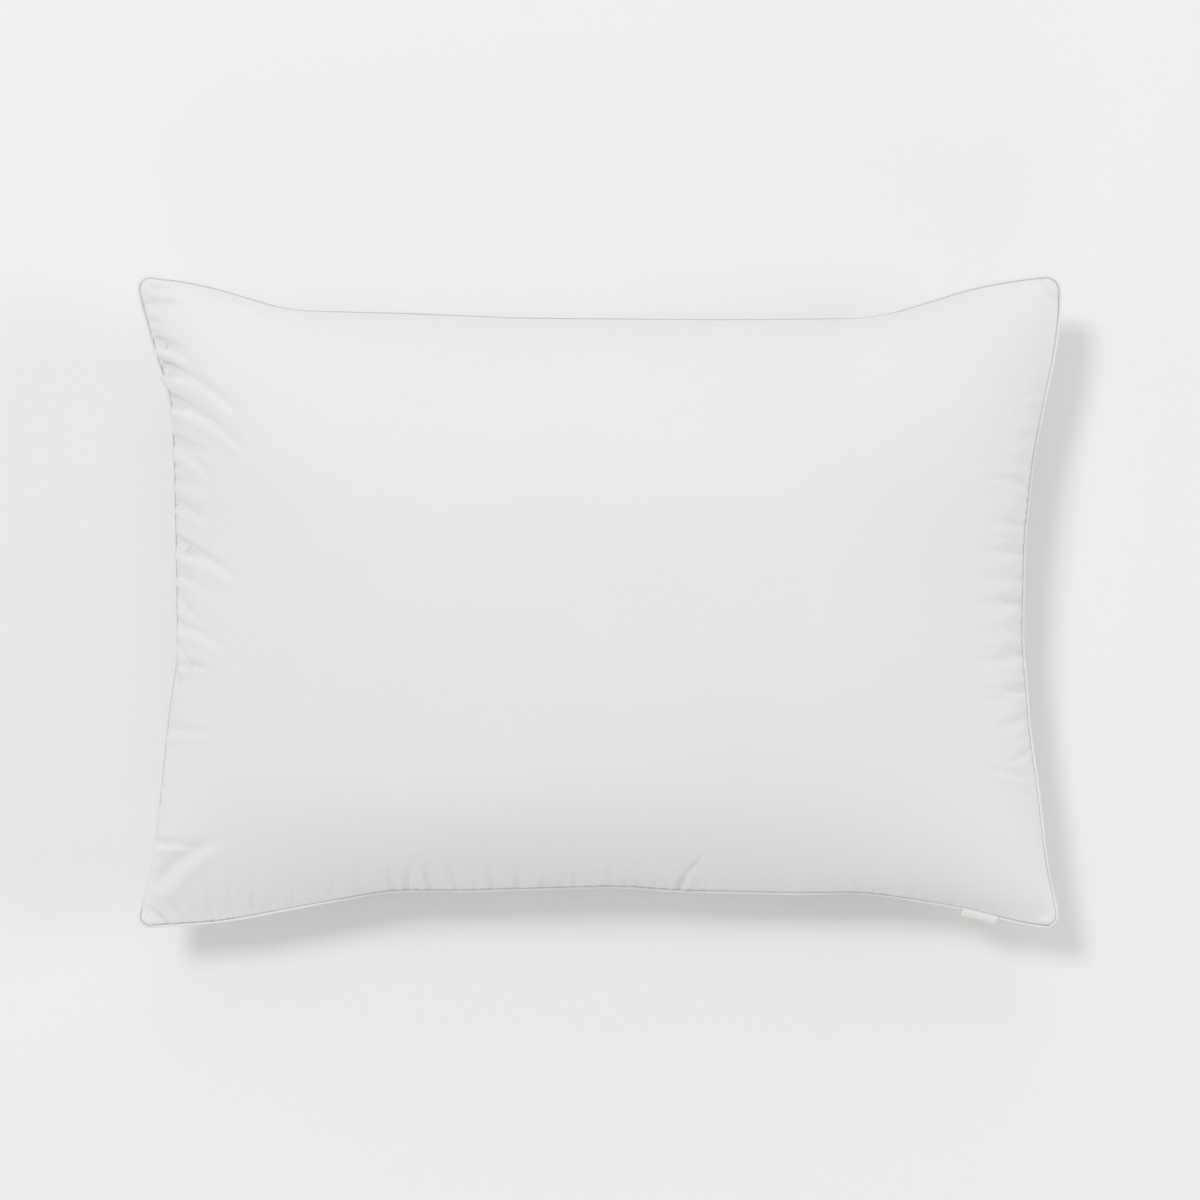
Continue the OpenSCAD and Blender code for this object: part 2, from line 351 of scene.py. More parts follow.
def linkSets(flat, slack):
    # pairs of grid points a set distance apart, in groups where no point occurs twice
    rows, cols = flat.shape[:2]
    every, sets = slice(None), []

    def add(first, second, pull, push):
        gap = np.abs(flat[second] - flat[first])
        longer = 1 + (gap[..., 0] * slack[0][second] + gap[..., 1] * slack[1][second]) / gap.sum(axis=-1)
        rest = (np.linalg.norm(gap, axis=-1) * longer).astype(np.float32)
        sets.append(((every,) + first, (every,) + second, rest, pull, push))

    for odd in (0, 1):
        lowRows, highRows = slice(odd, rows - 1, 2), slice(odd + 1, rows, 2)
        add((every, slice(odd, cols - 1, 2)), (every, slice(odd + 1, cols, 2)), 1, pillow["crimp"])
        add((lowRows, every), (highRows, every), 1, pillow["crimp"])
        add((lowRows, slice(0, cols - 1)), (highRows, slice(1, cols)), pillow["shear"], 0.0)
        add((lowRows, slice(1, cols)), (highRows, slice(0, cols - 1)), pillow["shear"], 0.0)
    for k in range(4):
        add((every, slice(k, cols - 2, 4)), (every, slice(k + 2, cols, 4)), 0, pillow["bend"])
        add((slice(k, rows - 2, 4), every), (slice(k + 2, rows, 4), every), 0, pillow["bend"])
    return sets


def areaVectors(p):
    # cross product of the central differences along the rows and columns, outwards
    across, along = np.gradient(p, axis=2), np.gradient(p, axis=1)
    n = np.cross(across, along)
    n[1] *= -1
    return n


def doubled(p):
    # the same surface on a grid twice as fine, with a new point midway between each two
    out = np.zeros((2, p.shape[1] * 2 - 1, p.shape[2] * 2 - 1, 3), p.dtype)
    out[:, ::2, ::2] = p
    out[:, 1::2, ::2] = (p[:, 1:] + p[:, :-1]) / 2
    out[:, :, 1::2] = (out[:, :, 2::2] + out[:, :, :-2:2]) / 2
    return out


def setRim(p, loop):
    # writes a closed loop of points back to the rim that both panels share
    rows, cols = p.shape[1:3]
    a, b, c = cols - 1, cols + rows - 2, 2 * cols + rows - 3
    p[:, 0, :-1], p[:, :-1, -1] = loop[:a], loop[a:b]
    p[:, -1, :0:-1], p[:, :0:-1, 0] = loop[b:c], loop[c:]


def sewnTogether(p, stiffness, target):
    # the panels' rims meet halfway; the piping irons out short kinks, by a pass that smooths
    # the line and one that undoes the shrinking of its long curves, and keeps to its outline
    loop = (rim(p[0]) + rim(p[1])) / 2
    for share in (stiffness, -1.04 * stiffness):
        mean = (np.roll(loop, 1, axis=0) + np.roll(loop, -1, axis=0)) / 2
        loop = loop + (mean - loop) * share
    loop[:, :2] += (target - loop[:, :2]) * pillow["hold"]
    setRim(p, loop)


def inflate():
    # from coarse to fine: each pass carries the last move on, adds pressure times each point's
    # area vector, moves each linked pair halfway to its set distance, and sews the rims
    rng = np.random.default_rng(pillow["seed"])
    p, slump = None, pillow["slump"]
    for level in range(1, pillow["halvings"] + 1):
        cells = [c * 2 ** level for c in pillow["coarse"]]
        flat = flatPattern(cells)
        if p is None:
            u, v = flat[..., 0] * 2 / pillow["flatLength"], flat[..., 1] * 2 / pillow["flatWidth"]
            dome = pillow["startDome"] * pillow["loft"] * np.sqrt(np.clip((1 - u ** 2) * (1 - v ** 2), 0, 1))
            p = np.zeros((2,) + flat.shape[:2] + (3,), np.float32)
            p[..., :2] = flat * pillow["startSize"]
            p[0, ..., 2], p[1, ..., 2] = pillow["loft"] / 2 + dome, pillow["loft"] / 2 - dome
        else:
            p = doubled(p)
        cell = pillow["flatLength"] / cells[0]
        p += rng.normal(0, pillow["jitter"] * cell, p.shape).astype(np.float32)
        slack = slackness(flat, rng) * (level >= pillow["gatherFrom"])
        sets, target = linkSets(flat, slack), seamTarget(flat)
        before = p.copy()
        for k in range(pillow["rounds"][level]):
            speed = (p - before) * pillow["carry"]
            before = p.copy()
            # pressure falls with height, as in a heap under its own weight
            head = 1 + slump * (0.5 - p[..., 2] / pillow["loft"])
            force = pillow["pressure"] / 2 ** (level - 1) / cell * head
            p += speed + areaVectors(p) * force[..., None]
            for first, second, rest, pull, push in sets:
                d = p[second] - p[first]
                length = np.sqrt(np.einsum("...i,...i", d, d)) + 1e-9
                over = length - rest
                d *= (over / length * np.where(over > 0, 0.5 * pull, 0.5 * push))[..., None]
                p[first] += d
                p[second] -= d
            sewnTogether(p, pillow["pipingStiffness"], target)
            p[..., 2] -= max(p[..., 2].min(), 0) * 0.5
            np.maximum(p[..., 2], 0, out=p[..., 2])
            # more weight where the crown stands too high
            tall = float(np.clip(p[..., 2].max() / pillow["loft"] - 1, -0.1, 0.1))
            slump = min(max(slump * (1 + pillow["control"] * tall), 0.2), 1.7)
        report("filled at %d x %d cells" % tuple(cells))
    return p, flat


# broad unevenness of the filling under the top panel: middle, half widths and height of each
mounds = [
    (-0.02, 0.100, 0.26, 0.062, 0.0080), (-0.08, -0.155, 0.20, 0.050, 0.0090),
    (0.260, -0.010, 0.055, 0.130, -0.0085),
]
# creases in the top panel, in metres: from the seam to where each runs out, width and depth
creases = [
    # left side
    (-0.336, 0.198, -0.292, 0.166, 0.0035, 0.0030), (-0.334, 0.180, -0.258, 0.134, 0.0042, 0.0056),
    (-0.323, 0.152, -0.252, 0.106, 0.0040, 0.0046), (-0.319, 0.118, -0.282, 0.088, 0.0032, 0.0030),
    (-0.319, 0.075, -0.285, 0.055, 0.0030, 0.0020), (-0.319, 0.044, -0.258, 0.012, 0.0042, 0.0040),
    (-0.317, 0.022, -0.285, 0.004, 0.0030, 0.0022), (-0.316, -0.016, -0.272, -0.036, 0.0040, 0.0028),
    (-0.316, -0.047, -0.280, -0.052, 0.0026, 0.0044), (-0.326, -0.095, -0.276, -0.100, 0.0034, 0.0026),
    (-0.332, -0.180, -0.298, -0.184, 0.0028, 0.0030),
    # left corners
    (-0.333, -0.212, -0.280, -0.174, 0.0062, 0.0052), (-0.343, 0.236, -0.333, 0.214, 0.0030, 0.0020),
    (-0.280, 0.236, -0.228, 0.204, 0.0055, 0.0030),
    # front side
    (-0.270, -0.226, -0.261, -0.207, 0.0024, 0.0014), (-0.202, -0.222, -0.195, -0.205, 0.0022, 0.0013),
    (-0.145, -0.214, -0.130, -0.184, 0.0028, 0.0020), (-0.031, -0.214, -0.020, -0.192, 0.0024, 0.0016),
    (0.019, -0.213, 0.032, -0.188, 0.0024, 0.0014), (0.060, -0.213, 0.081, -0.184, 0.0028, 0.0031),
    # right side and back right corner
    (0.316, 0.092, 0.274, 0.086, 0.0028, 0.0016), (0.316, 0.047, 0.277, 0.044, 0.0024, 0.0013),
    (0.316, 0.000, 0.276, -0.001, 0.0026, 0.0013), (0.316, -0.036, 0.274, -0.038, 0.0024, 0.0014),
    (0.317, -0.066, 0.275, -0.067, 0.0024, 0.0014), (0.319, -0.131, 0.272, -0.123, 0.0028, 0.0018),
    (0.318, 0.233, 0.334, 0.218, 0.0030, -0.0006),
]


# of a crease: its bow as a share of its length, and the ridge beside it as shares of its depth
# and width; creases and mounds fade where the panels are less than this far apart
creaseShape = {"bow": 0.06, "ridge": 0.7, "ridgeAway": 1.7, "apart": 0.012}


def shaped(p):
    # top panel only: mounds raise it by bell curves; each crease presses it in along a line as a
    # bell curve across the line, with a lower ridge beside it, fading from the seam inwards
    bow, ridge, ridgeAway = creaseShape["bow"], creaseShape["ridge"], creaseShape["ridgeAway"]
    top = p[0].astype(float)
    x, y = top[..., 0], top[..., 1]
    free = np.clip(np.linalg.norm(p[0] - p[1], axis=-1) / creaseShape["apart"], 0, 1)
    rise = sum(h * np.exp(-((x - mx) / sx) ** 2 - ((y - my) / sy) ** 2) for mx, my, sx, sy, h in mounds)
    top[..., 2] += rise * free ** 2
    inwards = np.zeros(x.shape)
    for x0, y0, x1, y1, width, depth in creases:
        length = math.hypot(x1 - x0, y1 - y0)
        ax, ay = (x1 - x0) / length, (y1 - y0) / length
        s = ((x - x0) * ax + (y - y0) * ay) / length
        # square to the line, positive on the side towards the front
        side = 1 if ax > 0 else -1
        d = side * ((x - x0) * ay - (y - y0) * ax) + bow * length * np.sin(math.pi * np.clip(s, 0, 1))
        w = width * (1.2 - 0.5 * np.clip(s, 0, 1))
        fade = np.clip(6 * (s + 0.08), 0, 1) * np.clip(1 - s, 0, 1) ** 0.7
        valley, crest = np.exp(-(d / w) ** 2), np.exp(-((d - ridgeAway * w) / w) ** 2)
        inwards += depth * fade * (valley - ridge * crest)
    top -= unit(areaVectors(p))[0] * (inwards * free)[..., None]
    # back to the pillow's loft
    high = top[..., 2].max()
    top[..., 2] += (pillow["loft"] - high) * np.clip(top[..., 2] / high, 0, 1) ** 6
    return np.stack([top, p[1]])


cover, flat = inflate()
cover = shaped(cover)


# the seam and what runs along it

# metres: out is measured from the seam away from the pillow, up from it towards the top panel
seamParts = {
    "allowance": 0.009, "clothThick": 0.0004,
    "skinDepth": 0.0008, "innerIn": 0.0012, "innerUp": 0.0006,      # of a panel's inner skin
    "turnedUv": 1.02,                             # the allowance's place on the flat cloth
    "topGap": 0.0008, "bottomGap": 0.00035,       # height of each panel's allowance
    # where the top panel's edge lies on the piping, and how far inwards the cloth rises with it
    "rimOut": 0.0005, "rimUp": 0.00128, "rimBlend": 0.006,
    # height kept free at a corner for the cloth turned in there, and how far inwards it lasts
    "cornerRoom": 0.0024, "cornerEase": 0.0025, "cornerReach": 0.011, "cornerSlope": 0.5,
    "beadRadius": 0.0013, "beadOut": 0.0011, "stripThick": 0.0003, "stripGap": 0.00004,
    "cordRadius": 0.0009, "strands": 3, "cordTwist": 0.014,
    "stripSteps": 1088, "cordSteps": 2200,        # sections along the seam
    "threadRadius": 0.00015, "stitchIn": 0.002, "stitchLength": 0.003, "stitchPoints": 5,
    "overlockPitch": 0.004, "overlockDepth": 0.0045, "overlockClear": 0.0004, "overlockPoints": 10,
}


def seamFrames(p):
    # each seam point with three directions: along it, outwards between the panels, and upwards
    at = rim(p[0]).astype(float)
    along = np.roll(at, -2, axis=0) - np.roll(at, 2, axis=0)
    for k in range(8):
        along = (np.roll(along, 1, axis=0) + along + np.roll(along, -1, axis=0)) / 3
    along = unit(along)
    out = unit(np.cross(along, [0, 0, 1.0]))
    return at, along, out, np.cross(out, along)


seam = seamFrames(cover)
seamSteps = np.linalg.norm(np.diff(seam[0], axis=0, append=seam[0][:1]), axis=1)
seamRun = np.concatenate([[0], np.cumsum(seamSteps)])


def seamAt(where):
    # the seam's place and directions at distances along it, straight between its points
    loops = [np.concatenate([a, a[:1]]) for a in seam]
    return [np.stack([np.interp(where, seamRun, a[:, k]) for k in range(3)], -1) for a in loops]


def evenly(count):
    # distances along the seam in equal steps
    return np.linspace(0, seamRun[-1], count, endpoint=False)


def ringed(rings):
    # quads round a closed row of closed rings, facing outwards when a ring turns from out to up
    index = np.arange(rings.shape[0] * rings.shape[1]).reshape(rings.shape[:2])
    ahead = np.roll(index, -1, axis=0)
    quads = np.stack([index, ahead, np.roll(ahead, -1, axis=1), np.roll(index, -1, axis=1)], -1)
    return quads.reshape(-1, 4)


def ringUv(where, sides):
    # distance along the piece, and the share of the way round it
    around = np.arange(sides)[None] / sides
    return np.stack(np.broadcast_arrays(where[:, None], around), -1).reshape(-1, 2)


def sweep(name, where, out, up):
    # carries a closed section along the whole seam; out and up have a row per place or one for all
    at, along, outwards, upwards = seamAt(where)
    rings = at[:, None] + out[..., None] * outwards[:, None] + up[..., None] * upwards[:, None]
    return makePiece(name, rings.reshape(-1, 3), ringed(rings), uv=ringUv(where, rings.shape[1]))


def tubePoints(path, aside, radius, sides):
    # a round section on each point of a path, square to it; aside is a direction never along it
    # section = radius (cos a times the first square direction + sin a times the second)
    ahead = unit(np.gradient(path, axis=-2))
    first = unit(np.cross(aside, ahead))
    second = np.cross(ahead, first)
    a = np.linspace(0, 2 * math.pi, sides, endpoint=False)[:, None]
    return (path[..., None, :] + radius[..., None, None] *
            (np.cos(a) * first[..., None, :] + np.sin(a) * second[..., None, :]))


def makeThread(name, where, out, up, aside, sides=6):
    # a thread along the whole seam, whose place in the seam's section is given by out and up
    frames = seamAt(where)
    path = frames[0] + out[:, None] * frames[2] + up[:, None] * frames[3]
    # two points more at each end let the directions meet where the loop closes
    longer = np.concatenate([path[-2:], path, path[:2]])
    sideways = np.concatenate([frames[aside][-2:], frames[aside], frames[aside][:2]])
    radius = np.full(len(longer), seamParts["threadRadius"])
    rings = tubePoints(longer, sideways, radius, sides)[2:-2]
    run = np.cumsum(np.linalg.norm(np.diff(path, axis=0, prepend=path[-1:]), axis=1))
    return makePiece(name, rings.reshape(-1, 3), ringed(rings), uv=ringUv(run, sides))


# folded label in the front side of the seam
ribbon = {
    "x": 0.289, "width": 0.028, "thick": 0.00015, "pitch": 0.00026, "weave": 0.0004, "border": 0.0012,
    "lean": 0.006,                          # how far to the right its foot hangs
    "lift": 0.0004, "passage": 0.0165,      # room above it in the seam, and half the room's width
    "sway": 0.0012,                         # of its foot, in and out across its width
    # the folded ribbon's middle line in the seam's section: out and up in metres
    "line": [(-0.007, 0.00056), (-0.003, 0.00056), (-0.0013, 0.0007), (-0.0001, 0.00128), (0.0012, 0.00168),
             (0.0040, 0.0010), (0.0068, -0.0024), (0.0068, -0.0120), (0.0052, -0.0280), (0.0045, -0.0420)],
}


# the two cover panels and the fill

normals = unit(areaVectors(cover))
gap = np.linalg.norm(cover[0] - cover[1], axis=-1)


def makePanel(name, side):
    # outer skin of fine cells; at the seam the cloth turns in as an allowance, folds back and
    # goes on as an inner skin of cells twice as large, set in along the normals
    sign, parts = 1 - 2 * side, seamParts
    rise = parts["topGap"] if side == 0 else parts["bottomGap"]
    at, along, out, up = seam
    outer = cover[side].astype(float)
    index = np.arange(outer.shape[0] * outer.shape[1]).reshape(outer.shape[:2])
    fine = rim(index)
    a = np.abs(flat[..., 0]) - pillow["flatLength"] / 2 + pillow["cornerRadius"]
    b = np.abs(flat[..., 1]) - pillow["flatWidth"] / 2 + pillow["cornerRadius"]
    away = pillow["cornerRadius"] - np.where((a > 0) & (b > 0), np.hypot(a, b), np.maximum(a, b))
    # at least the corner's height plus room (1 - a bell curve of the distance from the edge),
    # less a slope further in than the room reaches
    high = outer[..., 2]
    back, right = (flat[..., 1] > 0).astype(int), (flat[..., 0] > 0).astype(int)
    corner = high[[0, -1]][:, [0, -1]][back, right]
    room = parts["cornerRoom"] * (1 - np.exp(-(away / parts["cornerEase"]) ** 2))
    inside = pillow["cornerRadius"] - np.minimum(a, b)
    room = room - parts["cornerSlope"] * np.maximum(inside - parts["cornerReach"], 0)
    outer[..., 2] = sign * np.maximum(sign * high, sign * corner + room)
    if side == 0:
        # the edge lies on the piping, higher where the label passes between them, and the cloth
        # beside it rises with it: by a bell curve of its distance from the edge
        beside = np.exp(-((at[:, :1] - ribbon["x"]) / ribbon["passage"]) ** 6)
        lift = ribbon["lift"] * beside * (at[:, 1:2] < 0)
        outer[..., 2] += parts["rimUp"] * np.exp(-(away / parts["rimBlend"]) ** 2)
        points = outer.reshape(-1, 3).copy()
        points[fine] = at + parts["rimOut"] * out + (parts["rimUp"] + lift) * up
    else:
        points = outer.reshape(-1, 3).copy()
        points[fine] = at + sign * rise * up
    half = (slice(None, None, 2),) * 2
    depth = np.minimum(parts["skinDepth"], 0.3 * gap[half])[..., None]
    inner = outer[half] - normals[side][half] * depth
    innerIndex = np.arange(inner.shape[0] * inner.shape[1]).reshape(inner.shape[:2])
    inner = inner.reshape(-1, 3)
    at, out, up = at[::2], out[::2], up[::2]
    low, high = sign * rise, sign * (rise + parts["clothThick"])
    turned = [at - parts["allowance"] * out + low * up, at - parts["allowance"] * out + high * up]
    inner[rim(innerIndex)] = at - parts["innerIn"] * out + sign * (rise + parts["innerUp"]) * up
    count = len(at)
    start = len(points) + np.array([0, count])
    first, second = start[0] + np.arange(count), start[1] + np.arange(count)
    innerIndex = innerIndex + len(points) + 2 * count
    third = rim(innerIndex)
    f0, f1, f2 = fine[::2], fine[1::2], np.roll(fine[::2], -1)
    ahead = np.roll(first, -1)
    triangles = np.concatenate([np.stack([f1, f0, first], 1), np.stack([f2, f1, ahead], 1),
                                np.stack([f1, first, ahead], 1)])
    quads = np.concatenate([gridQuads(index), band(first, second)[:, ::-1], band(second, third)[:, ::-1],
                            gridQuads(innerIndex)[:, ::-1]])
    if side == 1:
        quads, triangles = quads[:, ::-1], triangles[:, ::-1]
    turnedUv = rim(flat)[::2] * parts["turnedUv"]
    uv = np.concatenate([flat.reshape(-1, 2), turnedUv, turnedUv, flat[half].reshape(-1, 2)])
    return makePiece(name, np.concatenate([points] + turned + [inner]), quads, triangles, uv)


# how far the fill lies inside the cover, its lumps, and the cells that it skips from the cover's
# edge and between its own
fillShape = {"inset": 0.004, "lump": 0.0012, "lumpSize": 0.035, "start": 8, "step": 4, "wall": 0.2}


def makeFill():
    # both panels' shapes set in, their surfaces uneven by two crossed sine waves, and a wall
    # between their edges that bulges towards the seam
    start, step = fillShape["start"], fillShape["step"]
    rows, cols = flat.shape[:2]
    part = (slice(None), slice(start, rows - start, step), slice(start, cols - start, step))
    depth = np.minimum(fillShape["inset"], 0.25 * gap[part[1:]])
    x, y = np.moveaxis(flat[part[1:]], -1, 0) / fillShape["lumpSize"]
    lumps = np.stack([np.sin(5 * x + 2 * np.sin(3 * y)) * np.sin(6 * y + 2 * np.sin(4 * x + 1)),
                      np.sin(6 * x + 2 * np.sin(4 * y + 2)) * np.sin(5 * y + 2 * np.sin(3 * x))])
    depth = depth * (1 + fillShape["lump"] / fillShape["inset"] * lumps)
    skins = cover[part] - normals[part] * depth[..., None]
    index = np.arange(skins[0, ..., 0].size).reshape(skins.shape[1:3])
    points = skins.reshape(-1, 3)
    top, bottom = rim(index), rim(index) + index.size
    middle = len(points) + np.arange(len(top))
    towards = seam[0][np.argmin(np.linalg.norm(points[top][:, None] - seam[0][None], axis=-1), axis=1)]
    wall = (points[top] + points[bottom]) / 2
    points = np.concatenate([points, wall + fillShape["wall"] * (towards - wall)])
    quads = np.concatenate([gridQuads(index), gridQuads(index)[:, ::-1] + index.size,
                            band(top, middle), band(middle, bottom)])
    flatUv = flat[part[1:]].reshape(-1, 2)
    return makePiece("fibreFill", points, quads, uv=np.concatenate([flatUv, flatUv, rim(flat[part[1:]])]))


topPanel = makePanel("topPanel", 0)
bottomPanel = makePanel("bottomPanel", 1)
fibreFill = makeFill()
for panel in (topPanel, bottomPanel):
    panel.data.materials.append(coverCotton)
report("panels and fill")


# piping

def stripSection():
    # the strip's section: round the cord outside, back round it inside, and both edges inwards
    parts = seamParts
    r, at, thick, end = parts["beadRadius"], parts["beadOut"], parts["stripThick"], -parts["allowance"]
    low = parts["stripGap"]
    outerTurn = math.asin((thick + low) / r)
    innerTurn = math.asin(low / (r - thick))
    a = np.linspace(-math.pi + outerTurn, math.pi - outerTurn, 18)
    b = np.linspace(math.pi - innerTurn, -math.pi + innerTurn, 14)
    out = np.concatenate([at + r * np.cos(a), [end, end], at + (r - thick) * np.cos(b), [end, end]])
    up = np.concatenate([r * np.sin(a), [thick + low, low], (r - thick) * np.sin(b), [-low, -thick - low]])
    return out, up


def makeCord():
    # the radius swells once for each strand round the section, and the section turns as it goes
    # along; radius = mean (1 + 0.1 cos strands(angle - turn))
    where = evenly(seamParts["cordSteps"])
    turns = round(seamRun[-1] / seamParts["cordTwist"])
    angle = np.linspace(0, 2 * math.pi, 12, endpoint=False)[None]
    turned = angle - (2 * math.pi * turns / seamRun[-1] * where)[:, None]
    radius = seamParts["cordRadius"] * (1 + 0.1 * np.cos(seamParts["strands"] * turned))
    return sweep("pipingCord", where, seamParts["beadOut"] + radius * np.cos(angle), radius * np.sin(angle))


pipingStrip = sweep("pipingStrip", evenly(seamParts["stripSteps"]), *stripSection())
pipingStrip.data.materials.append(coverCotton)
pipingCord = makeCord()
report("piping")


# threads

def lockstitch(name, sign):
    # runs on its own side of the layers and dips to their middle between the stitches:
    # height = top |sin(pi distance / stitch)| to a low power, which flattens its top
    parts = seamParts
    stitches = round(seamRun[-1] / parts["stitchLength"])
    where = evenly(stitches * parts["stitchPoints"])
    gapUp = parts["topGap"] if sign > 0 else parts["bottomGap"]
    top = gapUp + parts["clothThick"] + parts["threadRadius"]
    wave = np.abs(np.sin(math.pi * stitches * where / seamRun[-1])) ** 0.35
    return makeThread(name, where, np.full(len(where), -parts["stitchIn"]), sign * top * wave, 2)


def overlock():
    # a flat helix round the raw edges: out swings between the edge and the depth of the stitch
    # as a cosine while up follows the sine
    parts = seamParts
    loops = round(seamRun[-1] / parts["overlockPitch"])
    where = evenly(loops * parts["overlockPoints"])
    turn = 2 * math.pi * loops * where / seamRun[-1]
    tall = parts["topGap"] + parts["clothThick"] + 2 * parts["threadRadius"]
    edge = -parts["allowance"] - parts["overlockClear"]
    out = edge + parts["overlockDepth"] / 2 * (1 - np.cos(turn))
    return makeThread("overlockThread", where, out, tall * np.sin(turn), 1, sides=5)


closing = {"from": 0.030, "to": 0.200, "count": 42, "lean": 0.0016, "arch": 0.0005, "steps": 9, "sides": 6}


def closingStitches():
    # small stitches across the groove between the top panel and the piping: each one an arch
    # from the panel to the top of the bead, leaning along the seam
    x = np.linspace(closing["from"], closing["to"], closing["count"])
    front = seam[0][:flat.shape[1] - 1]
    where = np.interp(x, front[:, 0], seamRun[:len(front)])
    at, along, out, up = seamAt(where)
    second = cover[0][1]
    panel = np.stack([np.interp(x, second[:, 0], second[:, k]) for k in range(3)], -1)
    lean, steps, sides = closing["lean"] / 2 * along, closing["steps"], closing["sides"]
    start = panel + 0.0001 * up - lean
    bead = seamParts["beadRadius"] + 0.5 * seamParts["threadRadius"]
    end = at + seamParts["beadOut"] * out + bead * up + lean
    t = np.linspace(0, 1, steps)[None, :, None]
    arch = closing["arch"] * 4 * t * (1 - t)
    path = start[:, None] * (1 - t) + end[:, None] * t + arch * up[:, None]
    taper = np.sin(math.pi * np.linspace(0.06, 0.94, steps)) ** 0.4
    radius = np.broadcast_to(seamParts["threadRadius"] * 1.2 * taper, path.shape[:2])
    rings = tubePoints(path, along[:, None] + 0 * path, radius, sides)
    index = np.arange(rings[..., 0].size).reshape(rings.shape[:3])
    a, b = index[:, :-1], index[:, 1:]
    walls = np.stack([a, b, np.roll(b, -1, axis=2), np.roll(a, -1, axis=2)], -1).reshape(-1, 4)
    ends = np.concatenate([index[:, 0][:, [0, 1, 2, 3]], index[:, 0][:, [0, 3, 4, 5]],
                           index[:, -1][:, [3, 2, 1, 0]], index[:, -1][:, [5, 4, 3, 0]]])
    uv = np.stack(np.broadcast_arrays(0.004 * t, np.arange(sides) / sides + x[:, None, None] * 0), -1)
    return makePiece("closingStitches", rings.reshape(-1, 3), np.concatenate([walls, ends]),
                     uv=uv.reshape(-1, 2))


needleThread = lockstitch("needleThread", 1)
bobbinThread = lockstitch("bobbinThread", -1)
overlockThread = overlock()
stitches = closingStitches()
report("threads")


# label

def smoothLine(points, count):
    # a curve through the points: Catmull-Rom, by cubic blending between neighbours
    p = np.asarray(points, float)
    p = np.concatenate([2 * p[:1] - p[1:2], p, 2 * p[-1:] - p[-2:-1]])
    s = np.linspace(0, len(points) - 1 - 1e-6, count)
    k = s.astype(int)
    t = (s - k)[:, None]
    a, b, c, d = p[k], p[k + 1], p[k + 2], p[k + 3]
    square, cube = 2 * a - 5 * b + 4 * c - d, 3 * b - a - 3 * c + d
    return 0.5 * (2 * b + (c - a) * t + square * t ** 2 + cube * t ** 3)


def offset(line, by):
    # moves each point of a line sideways, square to it
    ahead = unit(np.gradient(line, axis=0))
    return line + by[:, None] * np.stack([-ahead[:, 1], ahead[:, 0]], 1)


def makeLabel():
    # two plies on either side of the middle line, joined by a half circle at the foot, given a
    # thickness; the width runs along the seam and sways a little towards the foot
    middle = smoothLine(ribbon["line"], 60)
    ones, r = np.ones(len(middle)), ribbon["pitch"] / 2
    outerPly, innerPly = offset(middle, r * ones), offset(middle, -r * ones)[::-1]
    turn = np.linspace(0, math.pi, 9)[1:-1]
    ahead = unit(middle[-1] - middle[-2])
    aside = np.array([-ahead[1], ahead[0]])
    fold = middle[-1] + r * (np.cos(turn)[:, None] * aside + 1.6 * np.sin(turn)[:, None] * ahead)
    line = np.concatenate([outerPly, fold, innerPly])
    half = np.full(len(line), ribbon["thick"] / 2)
    loop = np.concatenate([offset(line, half), offset(line, -half)[::-1]])
    front = seam[0][:flat.shape[1] - 1]
    middleRun = np.interp(ribbon["x"], front[:, 0], seamRun[:len(front)])
    across = np.linspace(-0.5, 0.5, 15) * ribbon["width"]
    at, along, out, up = seamAt(middleRun + across)
    level = unit(out.mean(axis=0) * [1, 1, 0])
    beside = ribbon["lean"] * unit(along.mean(axis=0) * [1, 1, 0])
    drop = np.clip(loop[:, 1] / ribbon["line"][-1][1], 0, 1)[None]
    sway = ribbon["sway"] * drop * np.sin(across / ribbon["width"] * 5 + 0.8)[:, None]
    rings = (at[:, None] + (loop[None, :, 0] + sway)[..., None] * level
             + drop[..., None] * beside + loop[None, :, 1:] * np.array([0, 0, 1.0]))
    index = np.arange(rings[..., 0].size).reshape(rings.shape[:2])
    a, b = index[:-1], index[1:]
    sides = np.stack([a, b, np.roll(b, -1, axis=1), np.roll(a, -1, axis=1)], -1).reshape(-1, 4)
    # each cut end is a strip between the loop's two runs
    count = len(line)
    k = np.arange(count - 1)
    strip = np.stack([k, k + 1, 2 * count - 2 - k, 2 * count - 1 - k], -1)
    ends = np.concatenate([index[0][strip], index[-1][strip][:, ::-1]])
    run = np.concatenate([[0], np.cumsum(np.linalg.norm(np.diff(line, axis=0), axis=1))])
    run = np.concatenate([run, run[::-1]])
    uv = np.stack(np.broadcast_arrays(across[:, None], run[None]), -1)
    quads = np.concatenate([sides, ends])
    return makePiece("ribbonLabel", rings.reshape(-1, 3), quads, uv=uv.reshape(-1, 2)), run.max()


label, ribbonLength = makeLabel()
report("label")


# materials of the other pieces

